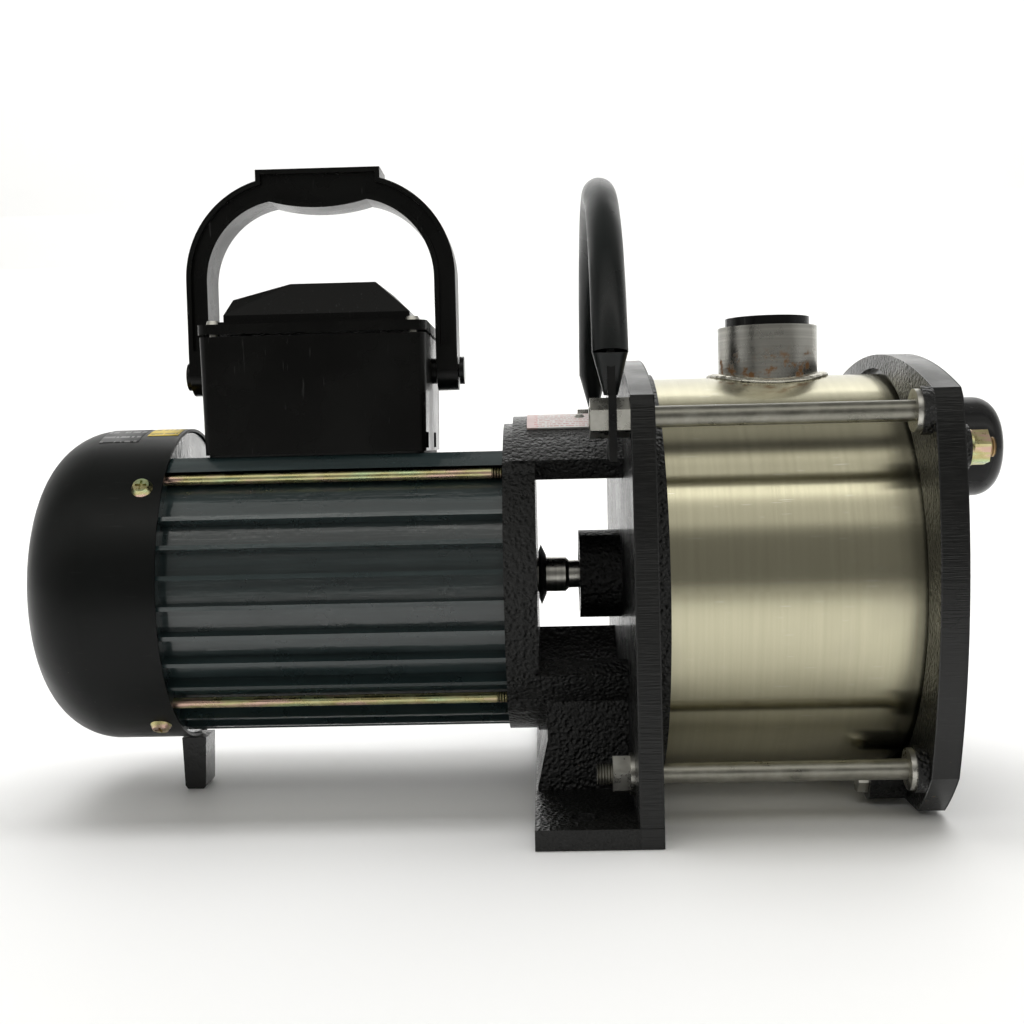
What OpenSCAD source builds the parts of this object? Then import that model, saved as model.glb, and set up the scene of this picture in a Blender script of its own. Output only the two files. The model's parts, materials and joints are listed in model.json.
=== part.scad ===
// Shallow well jet pump: finned motor, lantern bracket and stainless pump barrel on one shaft.
// X runs along the shaft towards the inlet, Y is depth, Z is up.
// The origin is the centre of the front foot, on the floor.

/* [Overall] */
// Height of the shaft axis above the floor
axis_h = 90; // [88:1:110]
// Length of the motor housing
motor_l = 137; // [120:1:170]
// Length of the pump barrel
barrel_l = 98; // [80:1:130]

/* [Motor] */
// Radius of the stator bore in the housing
housing_bore_r = 53; // [50:0.5:54]
// Radius of the housing wall under the fins
housing_root_r = 58.5; // [57:0.5:60]
// Radius over the fins
fin_tip_r = 64; // [62:0.5:65]
// Thickness of one fin
fin_t = 1.8; // [1.2:0.1:2.6]
// Angle from one fin to the next
fin_step = 10.9; // [9:0.1:12]
// Height of the flat deck above the shaft axis
deck_h = 54.5; // [54:0.5:58]
// Outer radius of the fan cover
cover_r = 67; // [66:0.5:72]
// Length of the fan cover
cover_l = 59; // [52:1:75]
// Corner radius of the fan cover
cover_corner_r = 28; // [15:1:32]
// Sheet thickness of the fan cover
cover_t = 1.2; // [0.8:0.1:2]
// Sideways place of the motor tie rods
motor_rod_y = 41.3; // [40:0.1:43]
// Height of the motor tie rods from the axis
motor_rod_z = 45.7; // [44:0.1:46.5]
// Radius of a motor tie rod
motor_rod_r = 2.2; // [1.8:0.1:2.5]

/* [Shaft and bearings] */
// Radius of the shaft in its bearings
journal_r = 7.5; // [6.5:0.25:8.5]
// Outer radius of a bearing
bearing_r = 17.5; // [16:0.5:20]
// Width of a bearing
bearing_w = 11; // [10:1:14]
// Radius of the pump end of the shaft
neck_r = 6; // [5:0.25:6.5]

/* [Lantern bracket] */
// Length from the motor ring to the pump plate, outside to outside
lantern_l = 57.5; // [54:0.5:70]
// Thickness of the motor ring
ring_t = 13; // [12.5:0.5:16]
// Thickness of the pump-side plate
plate_t = 9; // [7:0.5:12]
// Half width of the plates at the shaft axis
plate_half_w = 101; // [98:1:110]
// Height of the plates' top above the axis
plate_top = 91.5; // [90:0.5:100]
// Half width of the front foot
foot_half_w = 105; // [100:1:115]
// Length of the front foot
foot_l = 47; // [40:1:60]
// Thickness of the foot flange
foot_t = 7.5; // [5:0.5:10]
// Radius of a foot bolt hole
foot_hole_r = 5; // [4:0.25:6]
// Distance between the foot bolt holes
foot_hole_span = 176; // [150:2:190]
// Radius of the seal boss
seal_boss_r = 19; // [17:0.5:24]

/* [Pump] */
// Outer radius of the pump barrel
barrel_r = 83.5; // [80:0.5:85]
// Wall of the pump barrel
barrel_t = 1.5; // [1:0.1:2.5]
// Thickness of the front plate
front_t = 10.5; // [9:0.5:14]
// Radius of a pump tie rod
rod_r = 4; // [3.5:0.1:4.5]
// Sideways place of the upper tie rods
upper_rod_y = 88; // [87:0.5:90]
// Height of the upper tie rods above the axis
upper_rod_z = 66; // [60:0.5:68]
// Sideways place of the lower tie rods
lower_rod_y = 76; // [74:0.5:80]
// Depth of the lower tie rods below the axis
lower_rod_z = 69.5; // [64:0.5:70]
// Impeller radius
impeller_r = 60; // [50:1:66]

/* [Ports] */
// Radius of the threaded port bores
port_r = 15.15; // [12:0.05:16]
// Outer radius of the outlet socket
socket_r = 21; // [19:0.5:24]
// Height of the outlet socket's rim above the axis
socket_top = 104.5; // [100:0.5:120]
// Height of the inlet port above the axis
inlet_z = 51.5; // [46:0.5:54]
// Distance of an inlet stud from the port axis
inlet_stud_y = 40; // [37:0.5:44]

/* [Terminal box] */
// Width of the terminal box at its rim
box_w = 94; // [84:1:100]
// Depth of the terminal box at its rim
box_d = 77; // [66:1:80]
// Height of the terminal box body
box_h = 49; // [44:1:60]
// Wall of the terminal box
box_t = 2.5; // [2:0.1:3.5]

/* [Handles] */
// Clear gap between the carry handle's leg and the box rim
handle_gap = 1.5; // [1.5:0.1:4]
// Width of a carry handle leg
handle_leg = 9; // [9:0.5:14]
// Depth of the carry handle
handle_d = 20; // [14:1:24]
// Height of the carry handle above its pivot
handle_h = 86.5; // [84:0.5:100]
// Radius of a handle pivot
pivot_r = 3; // [2.5:0.1:4]
// Thickness of the lifting strap
strap_t = 3; // [2:0.5:4]
// Width of the lifting strap
strap_w = 18; // [14:1:22]
// Width of the lifting grip along the shaft
grip_w = 13.5; // [11:0.5:18]

/* [Fits] */
// Radial clearance where a shaft turns in a hole
run_c = 0.05; // [0.02:0.01:0.1]
// Radial clearance round a bolt or rod
bolt_c = 0.4; // [0.2:0.1:0.8]
// Gap between parts that pass each other
pass_c = 0.5; // [0.4:0.1:1]

/* [Hidden] */
$fn = 64;
eps = 0.01;
over = 1;

// Stations along X, worked out from the foot
plate_x1 = foot_l / 2;
plate_x0 = plate_x1 - plate_t;
ring_x0 = plate_x1 - lantern_l;
ring_x1 = ring_x0 + ring_t;
housing_x0 = ring_x0 - motor_l;
shield_t = 11;
shield_x0 = housing_x0 - shield_t;
cover_x1 = housing_x0 + 1;
cover_x0 = cover_x1 - cover_l;
shoulder_t = 5.5;
barrel_x0 = plate_x1 + shoulder_t;
barrel_x1 = barrel_x0 + barrel_l;
recess_depth = 3;
front_x0 = barrel_x1 - recess_depth;
front_x1 = front_x0 + front_t;

// Shared radii
shoulder_r = barrel_r + 2;
spigot_r = barrel_r - barrel_t - 0.3;
spigot_l = 7;
spigot_t = 6;
o_ring_r = 1.3;
housing_r = bearing_r + 5;
ring_r = fin_tip_r + 2;
arm_r = ring_r + 3;
arm_in_r = 58;
shield_r = cover_r - cover_t - pass_c;
lug_r = 6.5;
nut_af = 13;
nut_h = 6.5;
jam_h = 5;
washer_r = 8;
washer_t = 1.6;
end_washer_t = 2;
rod_boss_r = 9;
rod_boss_l = 4;
motor_head_h = 3.6;
motor_head_r = 3.8;

// Terminal box and carry handle
box_x = housing_x0 + motor_l * 0.44;
box_z = axis_h + deck_h;
lid_t = 4;
gasket_t = 1;
lid_z = box_z + box_h + gasket_t;
pivot_z = box_z + box_h - 14;
leg_in = box_w / 2 + handle_gap;
leg_out = leg_in + handle_leg;
leg_end_r = 8.5;
arc_r = 43;

// Lifting hoop
strap_x0 = plate_x0 - jam_h - strap_t;
strap_mid = strap_x0 + strap_t / 2;
hoop_base_z = axis_h + upper_rod_z + 8;
strap_tail = 16;
grip_taper = 14;

// Inlet stack on the front plate
pad_t = 6.5;
flange_gasket_t = 1.5;
flange_t = 9.5;
stub_r = 19;
cap_r = 21.2;
pad_x = front_x1 + pad_t;
flange_x0 = pad_x + flange_gasket_t;
flange_x1 = flange_x0 + flange_t;
stub_x1 = flange_x1 + 18;
stud_r = 4;

// Shaft stations
fan_x = shield_x0 - 9;
fan_hub_l = 17;
shaft_x0 = fan_x - fan_hub_l;
neck_x0 = ring_x1 + 12;
impeller_x = barrel_x0 + 9;
impeller_w = 12;
impeller_nut_h = 8;
core_r = 10;
rotor_r = 30.7;
air_gap = 0.5;
stack_l = 84;
stack_x = housing_x0 + (motor_l - stack_l) / 2;
winding_l = 15;

// Pieces along X: a cylinder from x0 to x1 about the shaft axis or an offset from it
module rod_x(x0, x1, r, y = 0, z = 0, fn = 64)
  translate([x0, y, axis_h + z]) rotate([0, 90, 0]) cylinder(h = x1 - x0, r = r, $fn = fn);

// A cone from x0 to x1 about the shaft axis
module cone_x(x0, x1, r0, r1)
  translate([x0, 0, axis_h]) rotate([0, 90, 0]) cylinder(h = x1 - x0, r1 = r0, r2 = r1);

// Turns a profile of (radius, distance) about the shaft axis
module turn_x(x0) translate([x0, 0, axis_h]) rotate([0, 90, 0]) rotate_extrude() children();

// Pushes a flat outline (y, z about the axis) along X
module plate_x(x0, x1)
  translate([x0, 0, axis_h]) rotate([90, 0, 90]) linear_extrude(x1 - x0) children();

// A ring about the shaft axis
module ring_x(x0, x1, ro, ri) difference() {
  rod_x(x0, x1, ro);
  rod_x(x0 - over, x1 + over, ri);
}

// A hexagon nut or head along X, with a hole if hole_r is over zero
module hex_x(x0, x1, af, y, z, hole_r = 0, turn = 0) difference() {
  translate([x0, y, axis_h + z]) rotate([turn, 0, 0]) rotate([0, 90, 0])
    cylinder(h = x1 - x0, r = af / sqrt(3), $fn = 6);
  if (hole_r > 0) rod_x(x0 - over, x1 + over, hole_r, y, z);
}

// Copies at plus and minus y
module both_sides(y) for (side = [-1, 1]) translate([0, side * y, 0]) children();

// The four motor tie rod places
module motor_corners() for (sy = [-1, 1], sz = [-1, 1])
  translate([0, sy * motor_rod_y, sz * motor_rod_z]) children();

// Places of the pump tie rods as [y, z] pairs
upper_places = [for (s = [-1, 1]) [s * upper_rod_y, upper_rod_z]];
lower_places = [for (s = [-1, 1]) [s * lower_rod_y, -lower_rod_z]];
all_places = concat(upper_places, lower_places);

// Bowed square outline shared by both pump plates: four long arcs and one corner circle
arc_big = 250;
arc_rise = 12;
plate_bottom = axis_h - 2;
corner_circle_r = 115;
corner_rise = 4.5;
module plate_outline() intersection() {
  translate([0, plate_top - arc_big]) circle(arc_big, $fn = 180);
  translate([-plate_half_w - over, -plate_bottom]) square([2 * (plate_half_w + over), 2 * plate_half_w]);
  translate([arc_big - plate_half_w, arc_rise]) circle(arc_big, $fn = 180);
  translate([plate_half_w - arc_big, arc_rise]) circle(arc_big, $fn = 180);
  translate([0, corner_rise]) circle(corner_circle_r, $fn = 120);
}

// --- Motor ---
fin_angles = [for (k = [0:6]) -36.6 + k * fin_step];
belly_angles = [for (k = [0:3]) -57.5 - k * fin_step];

module fin_at(a) rotate(a) translate([housing_root_r - over, -fin_t / 2])
  square([fin_tip_r - housing_root_r + over, fin_t]);

module housing_outline() difference() {
  intersection() {
    housing_solid_outline();
    translate([-fin_tip_r, -fin_tip_r - over]) square([2 * fin_tip_r, fin_tip_r + over + deck_h]);
    circle(fin_tip_r + 1, $fn = 96);
  }
  circle(housing_bore_r, $fn = 96);
}
module housing_solid_outline() {
  circle(housing_root_r, $fn = 96);
  for (a = concat(fin_angles, belly_angles)) {
    fin_at(a);
    fin_at(180 - a);
  }
  translate([-motor_rod_y - 3, motor_rod_z + motor_rod_r + 1])
    square([2 * motor_rod_y + 6, deck_h - motor_rod_z - motor_rod_r]);
}

module motor_housing() color("darkslategray") difference() {
  plate_x(housing_x0, ring_x0) housing_outline();
  translate([box_x, 0, axis_h]) cylinder(h = housing_root_r + over, r = wire_hole_r);
  box_corners(box_screw_x, box_screw_y) translate([0, 0, box_z - screw_depth])
    cylinder(h = screw_depth + over, r = box_screw_r);
}

module stator_core() color("gray")
  ring_x(stack_x, stack_x + stack_l, housing_bore_r, rotor_r + air_gap);

module stator_winding() color("peru") {
  for (x = [stack_x - winding_l, stack_x + stack_l])
    turn_x(x) translate([rotor_r + 4, 0]) square([16, winding_l]);
}

module rear_end_shield() color("darkslategray") difference() {
  union() {
    rod_x(shield_x0, housing_x0, shield_r, fn = 96);
    ring_x(housing_x0 - eps, housing_x0 + 3, housing_bore_r, housing_bore_r - 4);
  }
  ring_x(shield_x0 + 4, housing_x0 + eps, housing_bore_r - 4, housing_r);
  rod_x(housing_x0 - bearing_w, housing_x0 + over, bearing_r);
  rod_x(shield_x0 - over, housing_x0, journal_r + 1);
  for (sy = [-1, 1], sz = [-1, 1])
    rod_x(shield_x0 - over, housing_x0 + over, motor_rod_r + bolt_c, sy * motor_rod_y,
          sz * motor_rod_z);
  translate([foot_x, 0, axis_h - shield_r]) cube([tongue_t, tongue_w, 2 * tongue_in], center = true);
  translate([foot_x, 0, axis_h - shield_r]) cylinder(h = tongue_in + foot_screw_bite, r = foot_screw_r);
  for (a = cover_screw_angles) screw_hole(a, shield_r - cover_screw_bite);
}

// Rear foot: a tapered leg with a tongue that enters the end shield
foot_x = housing_x0 - 3;
leg_x = foot_x + 1.5;
foot_top_w = 10.5;
foot_bottom_w = 9;
foot_half_y = 8;
tongue_t = 4;
tongue_w = 8;
tongue_in = 6;
foot_toe = 1.5;
foot_top_z = axis_h - cover_r - pass_c;
foot_screw_r = 1.5;
foot_screw_bite = 6;
foot_head_r = 2.6;
foot_head_h = 2.4;
foot_sink = 4;
module rear_foot() color("#1c1c1c") difference() {
  union() {
    translate([leg_x, foot_half_y, 0]) rotate([90, 0, 0]) linear_extrude(2 * foot_half_y)
      polygon([[1 - foot_bottom_w / 2, 0], [foot_bottom_w / 2 - 1, 0],
               [foot_bottom_w / 2, foot_toe], [foot_top_w / 2, foot_top_z],
               [-foot_top_w / 2, foot_top_z], [-foot_bottom_w / 2, foot_toe]]);
    translate([foot_x - tongue_t / 2, -tongue_w / 2, foot_top_z - over])
      cube([tongue_t, tongue_w, axis_h - shield_r + tongue_in - foot_top_z + over]);
  }
  translate([foot_x, 0, -over]) cylinder(h = axis_h, r = foot_screw_r);
  translate([foot_x, 0, -over]) cylinder(h = foot_sink + over, r = foot_head_r + 0.2);
}

module foot_screw() color("silver") {
  translate([foot_x, 0, foot_sink - foot_head_h]) cylinder(h = foot_head_h, r = foot_head_r);
  translate([foot_x, 0, foot_sink - eps])
    cylinder(h = axis_h - shield_r + tongue_in + foot_screw_bite - foot_sink, r = foot_screw_r);
}

// Fan cover: drawn sheet cup with a rounded rear corner and rear vents
cover_screw_angles = [140, 40, -124, -56];
cover_screw_x = housing_x0 - 7;
cover_screw_r = 2;
cover_screw_bite = 10;
pan_r = 4.4;
pan_h = 2.2;
cross_w = 4.6;
module cup_profile(r, l, c) intersection() {
  union() {
    square([r - c, l]);
    square([r, l - c]);
    translate([r - c, l - c]) circle(c, $fn = 96);
  }
  square([r + over, l + over]);
}
module screw_hole(a, r0) translate([cover_screw_x, 0, axis_h]) rotate([a - 90, 0, 0])
  translate([0, 0, r0]) cylinder(h = cover_r, r = cover_screw_r);
vent_r = 2.6;
vent_spread = 1.45;
vent_rings = [14, 21, 28, 35];
module fan_cover() color("#202124") difference() {
  translate([cover_x1, 0, axis_h]) rotate([0, -90, 0]) rotate_extrude($fn = 96) difference() {
    cup_profile(cover_r, cover_l, cover_corner_r);
    cup_profile(cover_r - cover_t, cover_l - cover_t, cover_corner_r - cover_t);
  }
  for (r = vent_rings) for (k = [1:round(r / vent_spread)])
    rotate_about_axis(k * 360 / round(r / vent_spread))
      rod_x(cover_x0 - over, cover_x0 + cover_t + over, vent_r, r, 0, 16);
  for (a = cover_screw_angles) screw_hole(a, shield_r - cover_screw_bite);
  translate([foot_x - tongue_t / 2 - pass_c, -tongue_w / 2 - pass_c, axis_h - cover_r - over])
    cube([cover_l, tongue_w + 2 * pass_c, 6]);
}
module rotate_about_axis(a) translate([0, 0, axis_h]) rotate([a, 0, 0]) translate([0, 0, -axis_h])
  children();

module fan_cover_screws() color("gold") for (a = cover_screw_angles)
  translate([cover_screw_x, 0, axis_h]) rotate([a - 90, 0, 0]) difference() {
    union() {
      translate([0, 0, shield_r - cover_screw_bite + over])
        cylinder(h = cover_r - shield_r + cover_screw_bite - over, r = cover_screw_r);
      translate([0, 0, cover_r]) cylinder(h = pan_h, r1 = pan_r, r2 = pan_r - 1.2);
    }
    for (t = [0, 90]) translate([0, 0, cover_r + pan_h]) rotate(t) cube([cross_w, 1, 2], center = true);
  }

module motor_tie_rods() color("khaki") motor_corners() {
  rod_x(shield_x0 - eps, ring_x1 - 3, motor_rod_r);
  rod_x(shield_x0 - motor_head_h, shield_x0, motor_head_r);
}

race_t = 3.2;
groove_r = 2.6;
front_bearing_x = ring_x0;
rear_bearing_x = housing_x0 - bearing_w;
module bearing_outer(x) color("silver") turn_x(x) difference() {
  translate([bearing_r - race_t, 0]) square([race_t, bearing_w]);
  translate([bearing_r - race_t, bearing_w / 2]) circle(groove_r);
}
module bearing_inner(x) color("lightgray") turn_x(x) difference() {
  translate([journal_r, 0]) square([race_t, bearing_w]);
  translate([journal_r + race_t, bearing_w / 2]) circle(groove_r);
}
module rear_bearing_outer() bearing_outer(rear_bearing_x + wave_t);
module rear_bearing_inner() bearing_inner(rear_bearing_x + wave_t);
module front_bearing_outer() bearing_outer(front_bearing_x);
module front_bearing_inner() bearing_inner(front_bearing_x);
wave_t = 1.2;
module wave_washer() color("lightsteelblue")
  ring_x(rear_bearing_x, rear_bearing_x + wave_t, bearing_r - 0.5, bearing_r - 3);

// --- Shaft assembly ---
shaft_thread_r = neck_r - 1;
module shaft() color("lightgray") difference() {
  union() {
    rod_x(shaft_x0, shield_x0, neck_r);
    rod_x(shield_x0 - eps, housing_x0 + 2, journal_r);
    rod_x(housing_x0 + 2 - eps, ring_x0, core_r);
    rod_x(ring_x0 - eps, neck_x0, journal_r);
    cone_x(neck_x0 - eps, neck_x0 + 1.5, journal_r, neck_r);
    rod_x(neck_x0, impeller_x + impeller_w, neck_r);
    rod_x(impeller_x + impeller_w - eps, impeller_x + impeller_w + impeller_nut_h + 2, shaft_thread_r);
  }
  translate([shaft_x0 - over, -1, axis_h + neck_r - 1.5]) cube([fan_hub_l + over, 2, 3]);
}
module rotor_core() color("darkgray") ring_x(stack_x, stack_x + stack_l, rotor_r, core_r);

fan_r = 55;
fan_hub_r = 12;
fan_disc_t = 2.5;
blade_count = 8;
blade_h = 16;
blade_t = 2;
module cooling_fan() color("dimgray") difference() {
  union() {
    rod_x(fan_x - fan_hub_l, fan_x, fan_hub_r);
    rod_x(fan_x - fan_disc_t, fan_x, fan_r);
    for (k = [1:blade_count]) rotate_about_axis(k * 360 / blade_count)
      translate([fan_x - blade_h, fan_hub_r - over, axis_h - blade_t / 2])
        cube([blade_h, fan_r - fan_hub_r - over, blade_t]);
  }
  rod_x(fan_x - fan_hub_l - over, fan_x + over, neck_r);
}
slinger_x = ring_x1 + 0.4;
slinger_lip_r = 13.2;
slinger_back_r = 10;
slinger_edge_r = 8.4;
slinger_lip_x = slinger_x + 1.1;
slinger_x1 = slinger_lip_x + 2.2;
module slinger() color("#1a1a1a") difference() {
  union() {
    cone_x(slinger_x, slinger_lip_x, slinger_back_r, slinger_lip_r);
    cone_x(slinger_lip_x, slinger_x1, slinger_lip_r, slinger_edge_r);
  }
  rod_x(slinger_x - over, slinger_x1 + over, journal_r);
}
seat_t = 6;
seat_r = 13.5;
seat_x1 = plate_x1 + 1;
seal_gap = 0.05;
module seal_seat() color("white") ring_x(seat_x1 - seat_t, seat_x1, seat_r, neck_r + 0.6);
seal_face_t = 4;
seal_spring_l = impeller_x - seat_x1 - seal_gap - seal_face_t;
seal_face_r = 11.5;
bellows_r = 10.5;
module seal_rotor() color("#303030")
  ring_x(seat_x1 + seal_gap, seat_x1 + seal_gap + seal_face_t, seal_face_r, neck_r);
module seal_spring() color("silver")
  ring_x(impeller_x - seal_spring_l, impeller_x, bellows_r, neck_r + 1.5);
impeller_hub_r = 14;
impeller_eye_r = 19;
disc_t = 2.5;
vane_count = 6;
vane_t = 2;
vane_sweep = 18;
impeller_nut_af = 17;
module impeller() color("khaki") difference() {
  union() {
    rod_x(impeller_x, impeller_x + impeller_w, impeller_hub_r);
    rod_x(impeller_x, impeller_x + disc_t, impeller_r);
    for (k = [1:vane_count]) rotate_about_axis(k * 360 / vane_count)
      translate([impeller_x + 1, impeller_hub_r - 2, axis_h]) rotate([vane_sweep, 0, 0])
        cube([impeller_w - 2, impeller_r - impeller_hub_r - 2, vane_t]);
    ring_x(impeller_x + impeller_w - disc_t, impeller_x + impeller_w, impeller_r, impeller_eye_r);
  }
  rod_x(impeller_x - over, impeller_x + impeller_w + over, neck_r);
}
module impeller_nut() color("silver") hex_x(
  impeller_x + impeller_w, impeller_x + impeller_w + impeller_nut_h, impeller_nut_af, 0, 0, shaft_thread_r);

// --- Lantern bracket ---
arm_top_half = 43;
arm_low_from = 31;
arm_step = 4;
pedestal_half = 48;
pedestal_x0 = -foot_l / 2 + 1;
pedestal_lean = 4.3;
pedestal_knee_z = 28;
pedestal_top = axis_h - 46;
seal_boss_l = 17.5;
seal_room_r = 24;
foot_hole_x = -5;
module arc_band(x0, x1, a0, a1, ro, ri) plate_x(x0, x1) intersection() {
  difference() {
    circle(ro, $fn = 96);
    circle(ri, $fn = 96);
  }
  polygon([[0, 0], for (k = [0:4]) let (a = a0 + (a1 - a0) * k / 4) 2 * ro * [cos(a), sin(a)]]);
}
module lantern_arms() {
  arc_band(ring_x0 + arm_step, plate_x0 + over, 90 - arm_top_half, 90 + arm_top_half, arm_r, arm_in_r);
  arc_band(ring_x1 - over, plate_x0 + over, -180 + arm_low_from, -arm_low_from, ring_r + 1, arm_in_r);
}
module lantern_pedestal() difference() {
  translate([0, pedestal_half, 0]) rotate([90, 0, 0]) linear_extrude(2 * pedestal_half)
    polygon([[pedestal_x0, foot_t - over], [plate_x0 + over, foot_t - over],
             [plate_x0 + over, pedestal_top], [pedestal_x0 + pedestal_lean, pedestal_top],
             [pedestal_x0 + pedestal_lean, pedestal_knee_z], [pedestal_x0, foot_t + over]]);
  rod_x(pedestal_x0 - over, plate_x0 + 2 * over, arm_in_r, fn = 96);
}
module lantern_bracket() color("#151515") difference() {
  union() {
    rod_x(ring_x0, ring_x1, ring_r, fn = 96);
    motor_corners() rod_x(ring_x0, ring_x1, lug_r);
    lantern_arms();
    lantern_pedestal();
    plate_x(plate_x0, plate_x1) {
      plate_outline();
      polygon([[-plate_half_w, arc_rise], [plate_half_w, arc_rise], [foot_half_w, -axis_h],
               [-foot_half_w, -axis_h]]);
    }
    translate([-foot_l / 2, -foot_half_w, 0]) cube([foot_l, 2 * foot_half_w, foot_t]);
    rod_x(plate_x0 - seal_boss_l, plate_x0 + over, seal_boss_r);
    rod_x(plate_x1 - eps, barrel_x0, shoulder_r, fn = 96);
    ring_x(barrel_x0 - eps, barrel_x0 + spigot_l, spigot_r, spigot_r - spigot_t);
  }
  rod_x(ring_x0 - over, ring_x0 + bearing_w, bearing_r);
  rod_x(ring_x0, ring_x1 + over, journal_r + 1);
  rod_x(plate_x0 - seal_boss_l - over, seat_x1 - seat_t, boss_bore_r);
  rod_x(seat_x1 - seat_t - eps, seat_x1, seat_r);
  rod_x(seat_x1 - eps, barrel_x0 + over, seal_room_r);
  for (p = all_places) rod_x(plate_x0 - over, barrel_x0 + over, rod_r + bolt_c, p[0], p[1]);
  motor_corners() rod_x(ring_x0 - over, ring_x1 - 3, motor_rod_r);
  both_sides(foot_hole_span / 2) translate([foot_hole_x, 0, -over])
    cylinder(h = foot_t + 2 * over, r = foot_hole_r);
  at_rivet() translate([0, 0, -rivet_in - pass_c]) cylinder(h = 2 * rivet_in, r = rivet_r);
  o_ring_groove(barrel_x0 + spigot_l / 2);
}
boss_bore_r = seat_r - 3;

// An o-ring in a groove of the spigot, its outside against the barrel
module o_ring_groove(x)
  ring_x(x - o_ring_r, x + o_ring_r, spigot_r + over, barrel_r - barrel_t - 2 * o_ring_r);
module o_ring(x) color("black") turn_x(x)
  translate([barrel_r - barrel_t - o_ring_r, 0]) circle(o_ring_r, $fn = 24);
module rear_o_ring() o_ring(barrel_x0 + spigot_l / 2);
module front_o_ring() o_ring(barrel_x1 - spigot_l / 2);

nameplate_tilt = 12;
nameplate_x = -2;
nameplate_t = 0.6;
nameplate_back = 22;
nameplate_fore = 8;
rivet_r = 1.2;
rivet_in = 5;
module at_rivet() translate([nameplate_x, 0, axis_h]) rotate([nameplate_tilt, 0, 0])
  translate([0, 0, arm_r]) children();
module nameplate() color("white") difference() {
  arc_band(nameplate_x - nameplate_back, nameplate_x + nameplate_fore, 90, 90 + 2 * nameplate_tilt,
           arm_r + nameplate_t, arm_r);
  at_rivet() translate([0, 0, -over]) cylinder(h = rivet_in, r = rivet_r);
}
module nameplate_rivet() color("silver") at_rivet() {
  translate([0, 0, -rivet_in]) cylinder(h = rivet_in + nameplate_t + eps, r = rivet_r);
  translate([0, 0, nameplate_t]) cylinder(h = 1, r1 = 2 * rivet_r, r2 = rivet_r);
}

// --- Pump ---
socket_x = (barrel_x0 + barrel_x1) / 2 + 2;
socket_sink = 8;
plug_r = 17.8;
plug_seat = 1.2;
plug_in = 6;
plug_head = 5.2;
plug_fit = 0.3;
plug_c = 0.35;
plug_wall = 2.5;
weld_r = 2.8;
weld_rise = -1.2;
duct_c = 0.8;
module barrel() color("lightgray") difference() {
  rod_x(barrel_x0, barrel_x1, barrel_r, fn = 128);
  rod_x(barrel_x0 - over, barrel_x1 + over, barrel_r - barrel_t, fn = 128);
  translate([socket_x, 0, axis_h]) cylinder(h = barrel_r + 10, r = port_r + duct_c);
}
module outlet_socket() color("silver") difference() {
  translate([socket_x, 0, axis_h + barrel_r - socket_sink])
    cylinder(h = socket_top - barrel_r + socket_sink, r = socket_r);
  rod_x(barrel_x0 - over, barrel_x1 + over, barrel_r, fn = 128);
  translate([socket_x, 0, axis_h]) cylinder(h = socket_top + over, r = port_r);
  translate([socket_x, 0, axis_h + socket_top - plug_seat - plug_in - plug_fit])
    cylinder(h = plug_in + 2 * plug_seat, r = port_r + plug_fit + plug_c);
  translate([socket_x, 0, axis_h + socket_top - plug_seat]) cylinder(h = 5, r = plug_r + plug_fit);
}
module weld_bead() color("whitesmoke") difference() {
  translate([socket_x, 0, axis_h + barrel_r + weld_rise]) rotate_extrude()
    translate([socket_r + 0.6, 0]) circle(weld_r, $fn = 24);
  rod_x(barrel_x0 - over, barrel_x1 + over, barrel_r, fn = 128);
  translate([socket_x, 0, axis_h]) cylinder(h = socket_top, r = socket_r);
}
module outlet_plug() color("#101010")
  translate([socket_x, 0, axis_h + socket_top - plug_seat]) difference() {
    union() {
      cylinder(h = plug_head, r = plug_r);
      translate([0, 0, -plug_in]) cylinder(h = plug_in + eps, r = port_r + plug_fit);
    }
    translate([0, 0, -plug_in - over]) cylinder(h = plug_in, r = port_r - plug_wall);
    for (t = [0, 90]) translate([0, 0, plug_head]) rotate(t) cube([plug_r, 3, 2.4], center = true);
  }

// Drain lugs hang under the barrel on both sides; the near one is drilled and plugged
lug_angle = 31;
drain_lug_r = 7.5;
drain_lug_l = 15;
recess_r = barrel_r + 2.5;
drain_at = recess_r + 0.5 + drain_lug_r;
drain_r = 3;
drain_bore_r = 2;
drain_bite = 9;
drain_af = 9;
drain_x = barrel_x1 + 3.5;
module front_plate() color("#151515") difference() {
  union() {
    plate_x(front_x0, front_x1) plate_outline();
    for (p = all_places) rod_x(front_x0 - rod_boss_l, front_x0 + eps, rod_boss_r, p[0], p[1]);
    ring_x(barrel_x1 - spigot_l, barrel_x1 + eps, spigot_r, spigot_r - spigot_t);
    plate_x(front_x1 - eps, pad_x) inlet_oval();
    for (a = [-lug_angle, lug_angle]) rotate_about_axis(a)
      rod_x(front_x0 - drain_lug_l, front_x0 + eps, drain_lug_r, 0, -drain_at);
  }
  ring_x(front_x0 - over, barrel_x1, recess_r, spigot_r);
  rod_x(barrel_x0, barrel_x1, spigot_r - spigot_t, fn = 96);
  for (p = all_places)
    rod_x(front_x0 - rod_boss_l - over, front_x1 - blind_end, rod_r, p[0], p[1]);
  rod_x(front_x0, pad_x + over, port_r + duct_c, 0, inlet_z);
  for (s = [-1, 1]) rod_x(front_x1 - stud_in, pad_x + over, stud_r, s * inlet_stud_y, inlet_z);
  rotate_about_axis(-lug_angle) {
    rod_x(front_x0 - drain_lug_l - over, drain_x, drain_r, 0, -drain_at);
    translate([drain_x, 0, axis_h - drain_at]) cylinder(h = drain_at + drain_in, r = drain_bore_r);
    rod_x(barrel_x1 - over, drain_x, drain_bore_r - 0.4, 0, drain_in);
  }
  o_ring_groove(barrel_x1 - spigot_l / 2);
}

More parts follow.
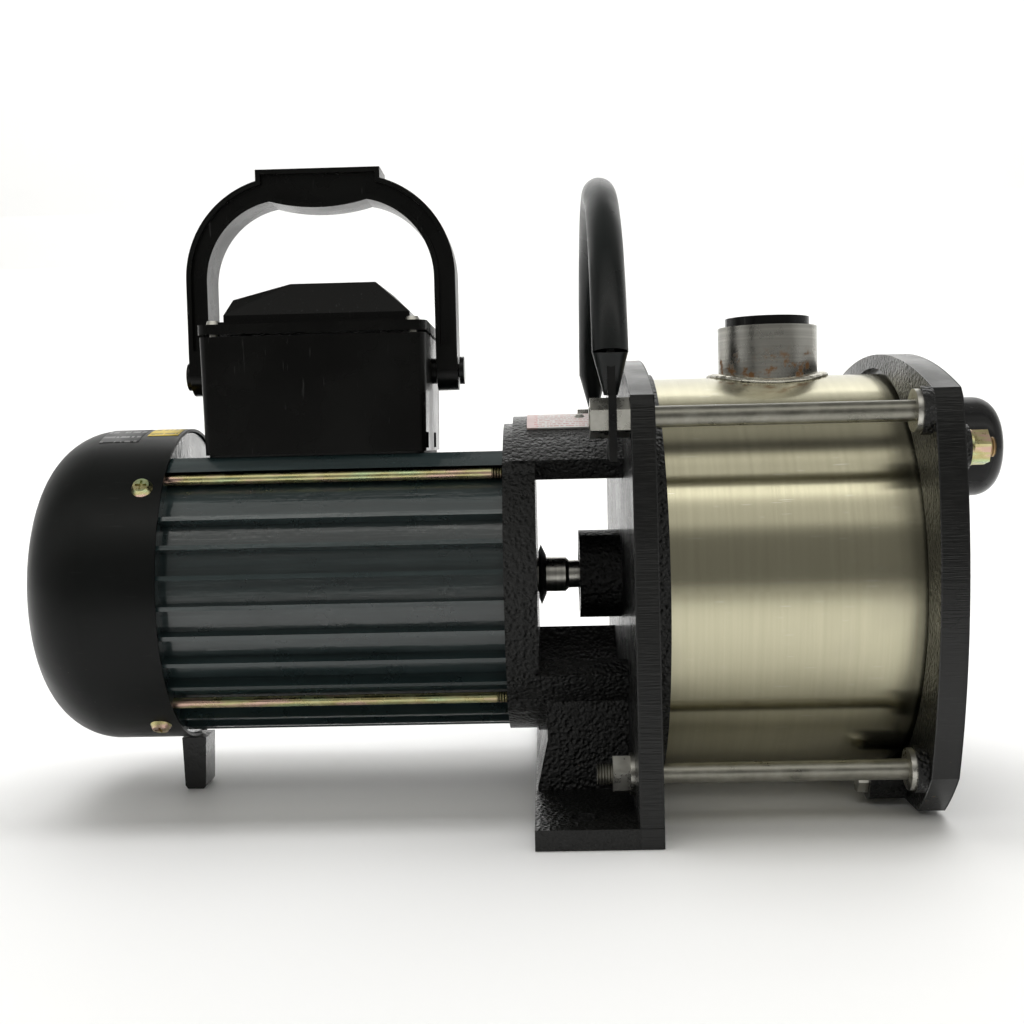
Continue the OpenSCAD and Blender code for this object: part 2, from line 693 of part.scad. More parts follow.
drain_in = spigot_t + 2 * drain_bore_r - spigot_r;
stud_in = 5;
stud_out = 11;
oval_arc = 58;
oval_half_h = 27;
ear_r = 9.5;
module inlet_oval() translate([0, inlet_z]) {
  intersection() {
    translate([0, oval_arc - oval_half_h]) circle(oval_arc, $fn = 120);
    translate([0, oval_half_h - oval_arc]) circle(oval_arc, $fn = 120);
    circle(inlet_stud_y + 4, $fn = 96);
  }
  for (s = [-1, 1]) translate([s * inlet_stud_y, 0]) circle(ear_r);
}
module inlet_gasket() color("black") difference() {
  plate_x(pad_x, flange_x0) inlet_oval();
  inlet_stud_holes(pad_x, flange_x0);
  rod_x(pad_x - over, flange_x0 + over, port_r + duct_c, 0, inlet_z);
}
module inlet_stud_holes(x0, x1) {
  for (s = [-1, 1]) rod_x(x0 - over, x1 + over, stud_r + bolt_c, s * inlet_stud_y, inlet_z);
}
module inlet_flange() color("#151515") difference() {
  union() {
    plate_x(flange_x0, flange_x1) inlet_oval();
    rod_x(flange_x0, stub_x1, stub_r, 0, inlet_z);
  }
  inlet_stud_holes(flange_x0, flange_x1);
  rod_x(flange_x0 - over, stub_x1 + over, port_r, 0, inlet_z);
}
module inlet_studs() color("khaki") for (s = [-1, 1])
  rod_x(front_x1 - stud_in, flange_x1 + stud_out, stud_r, s * inlet_stud_y, inlet_z);
inlet_washer_r = 7.4;
inlet_nut_turn = 20;
module inlet_nuts() color("khaki") for (s = [-1, 1]) {
  hex_x(flange_x1 + washer_t, flange_x1 + washer_t + nut_h, nut_af, s * inlet_stud_y, inlet_z, stud_r,
        inlet_nut_turn);
  difference() {
    rod_x(flange_x1, flange_x1 + washer_t, inlet_washer_r, s * inlet_stud_y, inlet_z);
    rod_x(flange_x1 - over, flange_x1 + washer_t + over, stud_r, s * inlet_stud_y, inlet_z);
  }
}
cap_l = 24;
cap_corner = 10;
cap_end_t = 5;
module inlet_cap() color("#101010")
  translate([flange_x1 + pass_c, 0, axis_h + inlet_z]) rotate([0, 90, 0])
    rotate_extrude($fn = 96) difference() {
      cup_profile(cap_r, cap_l, cap_corner);
      square([stub_r + 0.3, cap_l - cap_end_t]);
    }

upper_rod_out = 0.4;
lower_rod_out = 6;
blind_end = 2;
nut_turn = 8;
lower_nut_turn = 12;
module upper_tie_rods() color("silver") for (p = upper_places)
  rod_x(strap_x0 - nut_h - upper_rod_out, front_x1 - blind_end, rod_r, p[0], p[1]);
module lower_tie_rods() color("silver") for (p = lower_places)
  rod_x(plate_x0 - washer_t - nut_h - lower_rod_out, front_x1 - blind_end, rod_r, p[0], p[1]);
module rod_nuts() color("silver") {
  for (p = upper_places) hex_x(strap_x0 - nut_h, strap_x0, nut_af, p[0], p[1], rod_r, nut_turn);
  for (p = lower_places)
    hex_x(plate_x0 - washer_t - nut_h, plate_x0 - washer_t, nut_af, p[0], p[1], rod_r, lower_nut_turn);
}
module jam_nuts() color("silver") for (p = upper_places)
  hex_x(plate_x0 - jam_h, plate_x0, nut_af, p[0], p[1], rod_r, nut_turn);
module washer_x(x, t, p) difference() {
  rod_x(x, x + t, washer_r, p[0], p[1]);
  rod_x(x - over, x + t + over, rod_r, p[0], p[1]);
}
module rod_washers() color("silver") {
  for (p = lower_places) washer_x(plate_x0 - washer_t, washer_t, p);
  for (p = all_places) washer_x(front_x0 - rod_boss_l - end_washer_t, end_washer_t, p);
}

// Half hoop outline in (y, z above the hoop's base), shared by the strap and the grip's slot
grip_core = 8;
grip_a0 = asin((grip_taper + 2) / upper_rod_y);
module hoop_band() intersection() {
  difference() {
    circle(upper_rod_y + grip_core / 2, $fn = 128);
    circle(upper_rod_y - grip_core / 2, $fn = 128);
  }
  translate([-2 * upper_rod_y, 0]) square([4 * upper_rod_y, 2 * upper_rod_y]);
}
module lift_strap() color("#181818") {
  for (s = [-1, 1]) translate([0, s * upper_rod_y, 0]) difference() {
    translate([strap_x0, -strap_w / 2, axis_h + upper_rod_z - strap_tail])
      cube([strap_t, strap_w, strap_tail + hoop_base_z - axis_h - upper_rod_z + eps]);
    rod_x(strap_x0 - over, strap_x0 + strap_t + over, rod_r + bolt_c / 2, 0, upper_rod_z);
  }
  translate([strap_x0, 0, hoop_base_z]) rotate([90, 0, 90]) linear_extrude(strap_t) hoop_band();
}
module lift_grip() color("#2c2f31") difference() {
  union() {
    translate([strap_mid, 0, hoop_base_z]) rotate([0, 90, 0]) rotate([0, 0, grip_a0 + 90])
      rotate_extrude(angle = 180 - 2 * grip_a0, $fn = 128) translate([upper_rod_y, 0]) circle(grip_w / 2);
    for (s = [-1, 1])
      translate([strap_mid, s * upper_rod_y * cos(grip_a0), hoop_base_z + grip_taper + 2.2])
        rotate([180 - s * grip_a0 / 2, 0, 0])
          cylinder(h = grip_taper + 1.8, r1 = grip_w / 2 - 0.05, r2 = 2.6);
  }
  translate([strap_x0, 0, hoop_base_z]) rotate([90, 0, 90]) linear_extrude(strap_t) hoop_band();
}

module drain_plug() color("silver") rotate_about_axis(-lug_angle) {
  rod_x(front_x0 - drain_lug_l - eps, front_x0 - drain_lug_l + drain_bite, drain_r, 0, -drain_at);
  hex_x(front_x0 - drain_lug_l - 4, front_x0 - drain_lug_l, drain_af, 0, -drain_at);
}

// --- Pump internals ---
diffuser_r = impeller_r + 10;
diffuser_back = 4;
diffuser_wall = 4;
diffuser_x0 = impeller_x - diffuser_back;
impeller_x1 = impeller_x + impeller_w;
ejector_x0 = impeller_x1 + 2 + diffuser_wall;
port_count = 6;
port_hole_r = 4;
module diffuser() color("beige") difference() {
  rod_x(diffuser_x0, ejector_x0, diffuser_r);
  rod_x(diffuser_x0 - over, impeller_x1 + 2, impeller_r + 3);
  rod_x(impeller_x, ejector_x0 + over, impeller_eye_r + 1);
  for (k = [1:port_count]) rotate_about_axis(k * 360 / port_count)
    rod_x(impeller_x1, ejector_x0 + over, port_hole_r, impeller_r - 2 * port_hole_r, 0, 24);
}
ejector_x1 = barrel_x1 - 16;
ejector_r = 24;
cone_end_r = 14;
head_l = 22;
head_r = 18;
duct_l = 10;
duct_w = 24;
duct_t = 2;
throat_r = 6;
nozzle_neck_r = 9;
module ejector() color("beige") difference() {
  union() {
    cone_x(ejector_x0, ejector_x1 - head_l, ejector_r, cone_end_r);
    rod_x(ejector_x1 - head_l - eps, ejector_x1, head_r);
    translate([ejector_x1 - duct_l, -duct_w / 2, axis_h]) cube([duct_l, duct_w, inlet_z]);
    rod_x(ejector_x1 - duct_l, barrel_x1, port_r + 3, 0, inlet_z);
  }
  cone_x(ejector_x0 - over, ejector_x1 - head_l - 2, ejector_r - 4, throat_r);
  rod_x(ejector_x1 - head_l - 4, ejector_x1 - 2, throat_r + 3);
  translate([ejector_x1 - duct_l + duct_t, duct_t + 1 - duct_w / 2, axis_h])
    cube([duct_l - 2 * duct_t, duct_w - 2 * duct_t - 2, inlet_z]);
  rod_x(ejector_x1 - duct_l + duct_t, barrel_x1 + over, port_r + duct_c, 0, inlet_z);
  rod_x(ejector_x1 - duct_l / 2, ejector_x1 + over, nozzle_neck_r);
}
nozzle_tip_r = 3.5;
nozzle_head = 5;
module nozzle() color("khaki") difference() {
  union() {
    cone_x(ejector_x1 - 18, ejector_x1 - 4, nozzle_tip_r, nozzle_neck_r - 1);
    rod_x(ejector_x1 - 4 - eps, ejector_x1 + nozzle_head, nozzle_neck_r - eps);
    rod_x(ejector_x1, ejector_x1 + nozzle_head, nozzle_neck_r + 3);
  }
  cone_x(ejector_x1 - 19, ejector_x1 + nozzle_head + over, 2, 7);
}

// --- Terminal box ---
foot_gap = 0.8;
gland_r = 8;
gland_z = box_z + 16;
gland_hex_r = 12 / cos(30);
cable_r = 4;
wire_hole_r = 6;
box_screw_x = 32;
box_screw_y = 24;
box_screw_r = 2;
box_head_r = 3.6;
screw_depth = 6;
lid_screw_x = box_w / 2 - 6;
lid_screw_y = box_d / 2 - 6;
lid_screw_r = 1.6;
lid_screw_l = 9;
post_r = 4;
post_l = 16;
boss_r = 5.5;
draft = 1.5;
rim_draft = 0.5;
corner_r = 5;
box_floor = box_z + foot_gap + box_t;
box_in_w = box_w - 2 * box_t;
box_in_d = box_d - 2 * box_t;
slot_h = 6.5;
slot_w = 12;
slot_deep = 1.5;
slot_places = [-35, 3];
// Copies at the four corners of a rectangle about the box's middle
module box_corners(x, y) for (sx = [-1, 1], sy = [-1, 1]) translate([box_x + sx * x, sy * y, 0]) children();
module box_column(z0, z1, w, d) translate([box_x - w / 2, -d / 2, z0]) cube([w, d, z1 - z0]);
module rounded_column(z0, z1, w, d) {
  box_column(z0, z1, w, d - 2 * corner_r);
  box_column(z0, z1, w - 2 * corner_r, d);
  box_corners(w / 2 - corner_r, d / 2 - corner_r) translate([0, 0, z0]) cylinder(h = z1 - z0, r = corner_r);
}
module tapered_box(inset, z0, z1) hull() box_corners(box_w / 2 - corner_r, box_d / 2 - corner_r)
  translate([0, 0, z0])
    cylinder(h = z1 - z0, r1 = corner_r - inset - draft, r2 = corner_r - inset - rim_draft, $fn = 32);
module terminal_box() color("#141414") difference() {
  union() {
    difference() {
      tapered_box(0, box_z + foot_gap, box_z + box_h);
      tapered_box(box_t, box_floor, box_z + box_h + eps);
    }
    box_corners(lid_screw_x, lid_screw_y) translate([0, 0, box_z + box_h - post_l])
      cylinder(h = post_l, r = post_r);
    translate([box_x - leg_in + pass_c, 0, pivot_z]) rotate([0, 90, 0])
      cylinder(h = 2 * (leg_in - pass_c), r = boss_r);
  }
  tapered_box(box_t, box_floor, box_z + box_h - post_l - 4);
  box_column(box_floor, box_z + box_h + over, box_in_w - 5 * post_r, box_in_d - 2);
  translate([box_x - leg_out, 0, pivot_z]) rotate([0, 90, 0]) cylinder(h = 2 * leg_out, r = pivot_r);
  box_corners(box_screw_x, box_screw_y) translate([0, 0, box_z])
    cylinder(h = box_floor - box_z + over, r = box_screw_r + bolt_c);
  box_corners(lid_screw_x, lid_screw_y) translate([0, 0, box_z + box_h - lid_screw_l - over])
    cylinder(h = lid_screw_l + 2 * over, r = lid_screw_r);
  translate([box_x, 0, box_z]) cylinder(h = box_floor - box_z + over, r = wire_hole_r);
  translate([box_x, 0, gland_z]) rotate([-90, 0, 0]) cylinder(h = box_d, r = gland_r);
  for (y = slot_places) translate([box_x + box_w / 2 - draft - slot_deep, y, box_z + 2])
    cube([slot_h, slot_w, slot_h]);
}
module box_gasket() color("black") difference() {
  rounded_column(box_z, box_z + foot_gap, box_w - 2 * draft - 2, box_d - 2 * draft - 2);
  box_corners(box_screw_x, box_screw_y) translate([0, 0, box_z - over])
    cylinder(h = foot_gap + 2 * over, r = box_screw_r + bolt_c);
  translate([box_x, 0, box_z - over]) cylinder(h = foot_gap + 2 * over, r = wire_hole_r + 1);
}
module box_screws() color("silver") box_corners(box_screw_x, box_screw_y) {
  translate([0, 0, box_z - screw_depth]) cylinder(h = screw_depth + foot_gap + box_t, r = box_screw_r);
  translate([0, 0, box_floor]) cylinder(h = 2, r = box_head_r);
}

// Lid: a rim, a bead inside it and a dome whose crown sits towards the pump
dome_h = 16.3;
dome_w = box_w - 16;
dome_t = 3;
dome_shift = 6;
dome_d = 46;
crown_w = 36;
crown_d = 28;
bead_in = 7;
module terminal_lid() color("#141414") difference() {
  union() {
    rounded_column(lid_z, lid_z + lid_t, box_w, box_d);
    rounded_column(lid_z + lid_t - eps, lid_z + lid_t + 1.2, box_w - bead_in, box_d - bead_in);
    hull() {
      box_column(lid_z + lid_t, lid_z + lid_t + 5, dome_w, dome_d);
      translate([box_x - crown_w, -17, lid_z + lid_t]) cube([2 * crown_w - 4, 34, 12]);
      translate([box_x + dome_shift - crown_w / 2, -crown_d / 2, lid_z + lid_t])
        cube([crown_w, crown_d, dome_h + 2.2]);
    }
  }
  hull() {
    box_column(lid_z - over, lid_z + lid_t + 2, dome_w - 4 * dome_t, dome_d - 2 * dome_t);
    translate([box_x + dome_shift + dome_t - crown_w / 2, dome_t - crown_d / 2, lid_z])
      cube([crown_w - 2 * dome_t, crown_d - 2 * dome_t, dome_h + lid_t - 0.4]);
  }
  box_corners(lid_screw_x, lid_screw_y) {
    translate([0, 0, lid_z - over]) cylinder(h = lid_t + 2 * over, r = lid_screw_r + bolt_c);
    translate([0, 0, lid_z + lid_t]) cylinder(h = dome_h, r = 2 * lid_screw_r + bolt_c);
  }
}
module lid_screws() color("silver") box_corners(lid_screw_x, lid_screw_y) {
  translate([0, 0, lid_z - lid_screw_l]) cylinder(h = lid_t + lid_screw_l + eps, r = lid_screw_r);
  translate([0, 0, lid_z + lid_t]) cylinder(h = 1.8, r1 = 2 * lid_screw_r, r2 = 1.5 * lid_screw_r);
}
capacitor_r = 14;
capacitor_l = 58;
module run_capacitor() color("whitesmoke")
  translate([box_x - capacitor_l / 2, capacitor_r, box_floor + capacitor_r]) rotate([0, 90, 0])
    cylinder(h = capacitor_l, r = capacitor_r);
block_l = 50;
block_d = 16;
module terminal_block() color("ivory")
  translate([box_x - block_l / 2, -2 * block_d, box_floor]) cube([block_l, block_d, block_d - 2]);
gland_in = 8;
module cable_gland() color("#202020")
  translate([box_x, box_d / 2 - gland_in, gland_z]) rotate([-90, 0, 0]) difference() {
    union() {
      cylinder(h = 2 * gland_in, r = gland_r - run_c);
      translate([0, 0, gland_in + 0.5]) cylinder(h = 5, r = gland_hex_r, $fn = 6);
      translate([0, 0, gland_in + 5]) cylinder(h = 11, r1 = gland_r + 2.5, r2 = gland_r + 0.5);
    }
    translate([0, 0, -over]) cylinder(h = 4 * gland_in, r = cable_r);
  }

// --- Handles ---
handle_rise = handle_h - arc_r - 3;
belly_r = 75;
pad_w = 53;
pad_h = 2.5;
grip_t = 9;
belly_drop = 5;
recess_rim = 2;
recess_in = 2.5;
belly_top = handle_h - pad_h - grip_t;
pin_head_r = 6;
leg_mid = leg_in + handle_leg / 2;
module both_legs() for (s = [-1, 1]) translate([s * leg_mid, 0, 0]) children();
pin_in = box_w / 2 - 14;
module handle_pivots() color("#222222") for (s = [-1, 1])
  translate([box_x, 0, pivot_z]) rotate([0, s * 90, 0]) {
    translate([0, 0, pin_in]) cylinder(h = leg_out + 1 - pin_in, r = pivot_r);
    translate([0, 0, leg_out + pass_c]) cylinder(h = 2, r = pin_head_r);
  }
module arch_outline(r, half, top) {
  translate([-half, 0]) square([2 * half, handle_rise]);
  translate([r - half, handle_rise - over]) square([2 * (half - r), top - handle_rise + over]);
  for (s = [-1, 1]) translate([s * (half - r), handle_rise]) intersection() {
    circle(r, $fn = 96);
    translate([-r, 0]) square([2 * r, r]);
  }
}
module handle_outline(rim = 0) difference() {
  union() {
    arch_outline(arc_r - rim, leg_out - rim, handle_h - pad_h - rim);
    translate([rim - pad_w / 2, handle_h - grip_t]) square([pad_w - 2 * rim, grip_t - rim]);
  }
  difference() {
    translate([0, -over]) arch_outline(arc_r - handle_leg + rim, leg_in + rim, belly_top + rim);
    translate([0, belly_top - belly_drop + belly_r]) circle(belly_r - rim, $fn = 180);
  }
}
module carry_handle() color("#181818") translate([box_x, 0, pivot_z]) difference() {
  union() {
    translate([0, handle_d / 2, 0]) rotate([90, 0, 0]) linear_extrude(handle_d) handle_outline();
    both_legs() rotate([0, 90, 0]) cylinder(h = handle_leg, r = leg_end_r, center = true);
  }
  both_legs() rotate([0, 90, 0]) cylinder(h = handle_leg + over, r = pivot_r + run_c, center = true);
  for (s = [0, 1]) mirror([0, s, 0]) handle_recess();
  leg_bottoms();
}
module handle_recess() translate([0, recess_in - handle_d / 2, 0]) rotate([90, 0, 0])
  linear_extrude(recess_in + over) difference() {
    handle_outline(recess_rim);
    translate([-leg_out, -over]) square([2 * leg_out, leg_end_r + recess_rim + over]);
  }
module leg_bottoms() both_legs() difference() {
  translate([0, 0, -leg_end_r]) cube([handle_leg + over, 2 * handle_d, 2 * leg_end_r], center = true);
  rotate([0, 90, 0]) cylinder(h = 2 * handle_leg, r = leg_end_r, center = true);
}

motor_housing();
stator_core();
stator_winding();
rear_end_shield();
rear_foot();
foot_screw();
fan_cover();
fan_cover_screws();
motor_tie_rods();
rear_bearing_outer();
front_bearing_outer();
wave_washer();
terminal_box();
box_gasket();
box_screws();
terminal_lid();
lid_screws();
run_capacitor();
terminal_block();
cable_gland();
handle_pivots();
carry_handle();
lantern_bracket();
nameplate();
nameplate_rivet();
seal_seat();
rear_o_ring();
front_o_ring();
barrel();
outlet_socket();
weld_bead();
outlet_plug();
front_plate();
diffuser();
ejector();
nozzle();
inlet_flange();
inlet_gasket();
inlet_studs();
inlet_nuts();
inlet_cap();
upper_tie_rods();
lower_tie_rods();
rod_nuts();
jam_nuts();
rod_washers();
lift_strap();
lift_grip();
drain_plug();
shaft();
rotor_core();
cooling_fan();
slinger();
seal_rotor();
seal_spring();
impeller();
impeller_nut();
rear_bearing_inner();
front_bearing_inner();
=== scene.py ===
import json
import math

import bmesh
import bpy
from mathutils import Matrix, Vector


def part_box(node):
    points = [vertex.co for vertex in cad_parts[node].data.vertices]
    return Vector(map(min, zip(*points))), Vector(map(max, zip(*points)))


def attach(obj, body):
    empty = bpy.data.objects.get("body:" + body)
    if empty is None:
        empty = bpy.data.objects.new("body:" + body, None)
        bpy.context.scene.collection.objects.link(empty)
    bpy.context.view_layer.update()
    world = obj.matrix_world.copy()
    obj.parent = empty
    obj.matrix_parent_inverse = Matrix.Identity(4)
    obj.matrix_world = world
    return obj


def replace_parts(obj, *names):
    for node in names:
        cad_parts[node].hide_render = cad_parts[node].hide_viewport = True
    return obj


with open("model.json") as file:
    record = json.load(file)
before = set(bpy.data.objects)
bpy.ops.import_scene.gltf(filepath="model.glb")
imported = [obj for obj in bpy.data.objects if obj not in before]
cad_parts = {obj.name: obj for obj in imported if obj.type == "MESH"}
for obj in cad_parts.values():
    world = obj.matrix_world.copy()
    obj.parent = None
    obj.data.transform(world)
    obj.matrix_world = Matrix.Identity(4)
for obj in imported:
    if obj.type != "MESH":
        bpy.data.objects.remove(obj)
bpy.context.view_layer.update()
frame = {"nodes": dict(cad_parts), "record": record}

NODES = frame["nodes"]
MM = 0.001
AXIS_Z = 0.09  # height of the shaft
LANTERN_PLATE_X = (0.0150, 0.0230)
FRONT_PLATE_X = (0.1245, 0.1340)
WELD_Z = (0.1795, 0.1865)  # where the socket's rust fades out
CAMERA_AT = (-0.017, -0.57903, 0.148)
CAMERA_LENS = 46.78
CAMERA_TURN = (1.45, 3.01, -1.36)  # degrees aside, down, and over about the line of sight


# ---------------------------------------------------------------- materials
class Nodes:
    """Short calls that build a node tree."""

    def __init__(self, tree):
        self.tree = tree

    def put(self, socket, value):
        if isinstance(value, bpy.types.NodeSocket):
            self.tree.links.new(value, socket)
        elif isinstance(value, (tuple, list)) and len(socket.default_value) == 4 and len(value) == 3:
            socket.default_value = (*value, 1.0)
        else:
            socket.default_value = value

    def node(self, kind, settings=None, **inputs):
        made = self.tree.nodes.new(kind)
        for key, value in (settings or {}).items():
            setattr(made, key, value)
        for key, value in inputs.items():
            self.put(made.inputs[key.replace("_", " ")], value)
        return made

    def calc(self, how, a, b=0.0, c=0.0):
        made = self.node("ShaderNodeMath", {"operation": how})
        for socket, value in zip(made.inputs, (a, b, c)):
            self.put(socket, value)
        return made.outputs[0]

    def times(self, a, b):
        return self.calc("MULTIPLY", a, b)

    def mix(self, factor, a, b):
        made = self.node("ShaderNodeMix", {"data_type": "RGBA"})
        self.put(made.inputs["Factor"], factor)
        self.put(made.inputs[6], a)
        self.put(made.inputs[7], b)
        return made.outputs[2]

    def ramp(self, factor, *stops):
        """Colours that blend from stop to stop; the stops run from low to high."""
        made = self.node("ShaderNodeValToRGB", Fac=factor)
        band = made.color_ramp
        band.elements[0].position = stops[0][0]
        band.elements[-1].position = stops[-1][0]
        for at, _ in stops[1:-1]:
            band.elements.new(at)
        for element, (_, colour) in zip(band.elements, stops):
            element.color = (*colour, 1.0)
        return made.outputs[0]


class Paint(Nodes):
    """A Principled material and the short calls that build its surface."""

    def __init__(self, name, rough=0.5, metal=0.0, **constants):
        self.material = bpy.data.materials.new(name)
        self.material.use_nodes = True
        super().__init__(self.material.node_tree)
        self.shader = self.tree.nodes["Principled BSDF"]
        self.shader.inputs["Roughness"].default_value = rough
        self.shader.inputs["Metallic"].default_value = metal
        for socket, value in constants.items():
            self.shader.inputs[socket.replace("_", " ")].default_value = value
        self.place = self.node("ShaderNodeTexCoord").outputs["Object"]
        self.x, self.y, self.z = self.node("ShaderNodeSeparateXYZ", Vector=self.place).outputs

    def vector(self, x, y, z):
        return self.node("ShaderNodeCombineXYZ", X=x, Y=y, Z=z).outputs[0]

    def stretch(self, sx, sy, sz):
        made = self.node("ShaderNodeVectorMath", {"operation": "MULTIPLY"})
        self.put(made.inputs[0], self.place)
        made.inputs[1].default_value = (sx, sy, sz)
        return made.outputs[0]

    def noise(self, scale, detail=3.0, rough=0.55, place=None):
        made = self.node("ShaderNodeTexNoise", Vector=place or self.place, Scale=scale, Detail=detail,
                         Roughness=rough)
        return made.outputs["Fac"]

    def cells(self, scale):
        return self.node("ShaderNodeTexVoronoi", Vector=self.place, Scale=scale).outputs["Distance"]

    def span(self, value, low, high, to_low=0.0, to_high=1.0):
        """Maps low..high of a value to to_low..to_high, clamped and smooth."""
        made = self.node("ShaderNodeMapRange", {"interpolation_type": "SMOOTHSTEP"}, Value=value,
                         From_Min=low, From_Max=high, To_Min=to_low, To_Max=to_high)
        return made.outputs[0]

    def bump(self, height, strength=0.5, depth=0.2, under=None):
        """A bump of a depth in millimetres, on top of the one under it."""
        made = self.node("ShaderNodeBump", Height=height, Strength=strength, Distance=depth * MM)
        if under is not None:
            self.put(made.inputs["Normal"], under)
        return made.outputs[0]

    def finish(self, colour, rough=None, normal=None):
        self.put(self.shader.inputs["Base Color"], colour)
        if rough is not None:
            self.put(self.shader.inputs["Roughness"], rough)
        if normal is not None:
            self.put(self.shader.inputs["Normal"], normal)
            self.put(self.shader.inputs["Coat Normal"], normal)
        return self.material


def dust(p, amount, low, high):
    """Small pale specks that thin out between two heights."""
    specks = p.span(p.cells(420.0), 0.0, 0.11, 1.0, 0.0)
    patch = p.span(p.noise(38.0, 2.0), 0.5, 0.62)
    level = p.span(p.z, low, high, 1.0, 0.15)
    return p.times(p.times(specks, patch), p.times(level, amount))


def slate_paint():
    p = Paint("slate_paint", Coat_Weight=1.0, Coat_Roughness=0.05)
    run = p.stretch(14.0, 260.0, 260.0)
    streaks = p.noise(1.0, 4.0, 0.6, run)
    fleck = p.noise(900.0, 2.0)
    colour = p.ramp(streaks, (0.3, (0.009, 0.019, 0.02)), (0.55, (0.017, 0.031, 0.032)),
                    (0.78, (0.036, 0.054, 0.055)))
    rough = p.span(p.noise(60.0, 4.0), 0.3, 0.7, 0.24, 0.4)
    pits = p.bump(p.span(p.cells(330.0), 0.0, 0.5), 0.25, 0.12)
    waves = p.bump(streaks, 0.5, 0.35, pits)
    return p.finish(colour, rough, p.bump(fleck, 0.15, 0.03, waves))


def cover_black():
    p = Paint("cover_black", Specular_IOR_Level=0.2)
    cloud = p.noise(22.0, 5.0, 0.6)
    marks = dust(p, 0.8, 0.03, 0.085)
    scuffs = p.span(p.noise(1.0, 3.0, 0.5, p.stretch(90.0, 900.0, 500.0)), 0.66, 0.74)
    base = p.ramp(cloud, (0.35, (0.0006, 0.0011, 0.0009)), (0.7, (0.0016, 0.0024, 0.0021)))
    dusty = p.mix(marks, base, (0.16, 0.15, 0.12))
    colour = p.mix(p.times(scuffs, 0.12), dusty, (0.04, 0.04, 0.04))
    rough = p.span(cloud, 0.3, 0.7, 0.3, 0.44)
    grain = p.bump(p.noise(1300.0, 3.0), 0.12, 0.03)
    return p.finish(colour, rough, grain)


def cast_black(name, depth):
    """Black paint over a slightly rough steel; depth scales its lumps."""
    p = Paint(name, Coat_Weight=0.55, Coat_Roughness=0.07, Specular_IOR_Level=0.2)
    lumps = p.noise(420.0, 5.0, 0.62)
    grains = p.cells(620.0)
    patch = p.noise(40.0, 3.0)
    colour = p.ramp(patch, (0.3, (0.001, 0.0012, 0.0011)), (0.72, (0.0032, 0.0034, 0.003)))
    worn = p.span(p.noise(190.0, 4.0, 0.7), 0.7, 0.8)
    colour = p.mix(p.times(worn, 0.22), colour, (0.12, 0.12, 0.11))
    rough = p.span(patch, 0.3, 0.7, 0.24, 0.5)
    first = p.bump(lumps, 0.75 * depth, 0.55)
    return p.finish(colour, rough, p.bump(p.span(grains, 0.0, 0.6), 0.45 * depth, 0.3, first))


def plate_casting(name, rim):
    """The castings of the pump plates: sand-cast faces and a rim hatched across its thickness."""
    p = Paint(name, Coat_Weight=0.5, Coat_Roughness=0.07, Specular_IOR_Level=0.2)
    patch = p.noise(34.0, 4.0)
    lumps = p.noise(430.0, 5.0, 0.62)
    hatch = p.noise(1.0, 3.0, 0.6, p.stretch(60.0, 40.0, 1500.0))
    after = p.span(p.x, rim[0] - 0.4 * MM, rim[0])
    before = p.span(p.x, rim[1], rim[1] + 0.4 * MM, 1.0, 0.0)
    on_rim = p.times(after, before)
    inner = p.span(p.calc("ABSOLUTE", p.y), 0.088, 0.094)
    rim_face = p.times(on_rim, inner)
    colour = p.ramp(patch, (0.3, (0.001, 0.0012, 0.001)), (0.72, (0.0036, 0.0038, 0.0032)))
    lines = p.times(p.span(hatch, 0.58, 0.68), p.times(rim_face, 0.4))
    colour = p.mix(lines, colour, (0.018, 0.019, 0.017))
    chip = p.times(p.span(p.noise(210.0, 4.0, 0.7), 0.69, 0.76), p.span(p.z, 0.02, 0.05, 1.0, 0.15))
    colour = p.mix(p.times(chip, 0.6), colour, (0.2, 0.12, 0.07))
    rough = p.span(patch, 0.3, 0.7, 0.26, 0.5)
    plain = p.calc("SUBTRACT", 1.0, on_rim)
    grains = p.times(p.span(p.cells(560.0), 0.0, 0.7), 0.4)
    rugged = p.times(p.calc("ADD", lumps, grains), plain)
    faces = p.bump(rugged, 1.0, 1.3, p.bump(lumps, 0.3, 0.2))
    return p.finish(colour, rough, p.bump(p.times(hatch, rim_face), 0.5, 0.4, faces))


def plastic(name, tone, rough, grain=1500.0, strength=0.12, worn=0.06):
    """Moulded plastic with a fine grain and a few pale upright scuffs."""
    p = Paint(name, Specular_IOR_Level=0.22)
    cloud = p.noise(30.0, 4.0)
    lines = p.span(p.noise(1.0, 2.0, 0.5, p.stretch(700.0, 700.0, 60.0)), 0.68, 0.75)
    dark = tuple(0.8 * c for c in tone)
    light = tuple(1.5 * c for c in tone)
    colour = p.ramp(cloud, (0.3, dark), (0.75, light))
    colour = p.mix(p.times(lines, worn), colour, (0.3, 0.3, 0.3))
    return p.finish(colour, p.span(cloud, 0.3, 0.7, rough - 0.07, rough + 0.08),
                    p.bump(p.noise(grain, 3.0), strength, 0.05))


